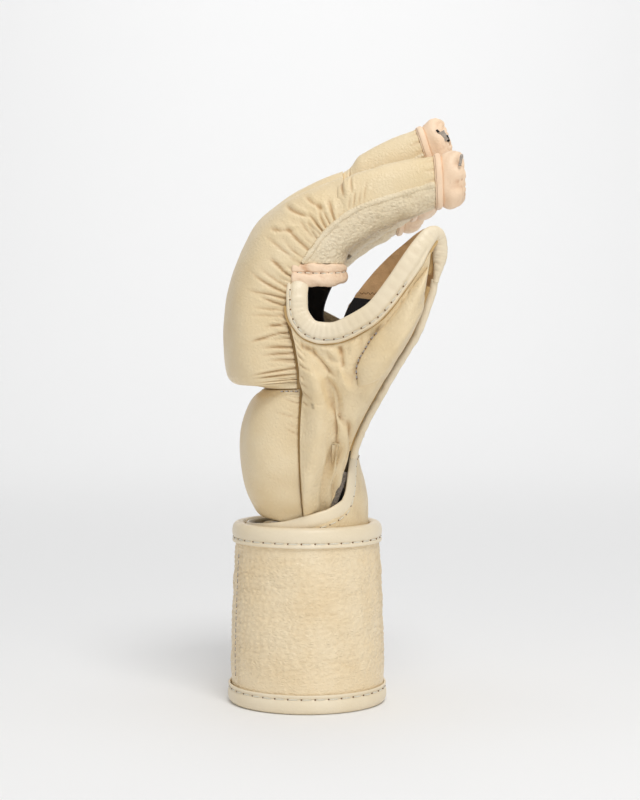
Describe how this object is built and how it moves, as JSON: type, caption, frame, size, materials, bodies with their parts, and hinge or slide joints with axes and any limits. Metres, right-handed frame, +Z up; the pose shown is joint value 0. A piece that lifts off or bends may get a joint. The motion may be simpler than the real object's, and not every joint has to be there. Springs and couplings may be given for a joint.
{
  "type": "mma glove",
  "caption": "Leather mixed martial arts sparring glove with open fingers, padded back of the hand, thumb pocket and a wide wrap-round wrist cuff.",
  "frame": {"origin": "under the middle of the glove's box, on the floor that the cuff stands on", "axes": "+Z up the hand from the cuff to the fingertips, +X the palm side, -X the back of the hand, -Y the thumb side"},
  "size_m": [0.1148, 0.096, 0.2805],
  "materials": {
    "cream_leather": "soft satin grain",
    "binding_leather": "smooth satin",
    "hem_leather": "soft satin",
    "tan_suede": "napped suede",
    "black_lining": "matt woven",
    "grey_tape": "matt looped tape"
  },
  "bodies": {
    "root": {"cuff_wall": "cream_leather", "cuff_top_binding": "binding_leather", "cuff_bottom_binding": "binding_leather", "strap_wrap": "cream_leather", "strap_binding": "binding_leather", "hook_tape": "grey_tape", "strap_end": "cream_leather", "wrist_lining": "black_lining", "backhand_pad": "cream_leather", "knuckle_pad": "cream_leather", "hand_lining": "black_lining", "opening_binding": "binding_leather", "thumb_piping": "binding_leather", "thumb_side_panel": "cream_leather", "thumb_pad": "cream_leather", "thumb_inner_wall": "tan_suede", "thumb_lining": "black_lining", "palm_panel": "cream_leather", "slit_tape": "grey_tape", "finger_pad_index": "cream_leather", "finger_pad_middle": "cream_leather", "finger_pad_ring": "cream_leather", "finger_pad_little": "cream_leather", "finger_sleeve_index": "cream_leather", "finger_sleeve_middle": "cream_leather", "finger_sleeve_ring": "cream_leather", "finger_sleeve_little": "cream_leather", "tip_hem_index": "hem_leather", "tip_hem_middle": "hem_leather", "tip_hem_ring": "hem_leather", "tip_hem_little": "hem_leather", "base_hem_index": "hem_leather"}
  },
  "joints": []
}
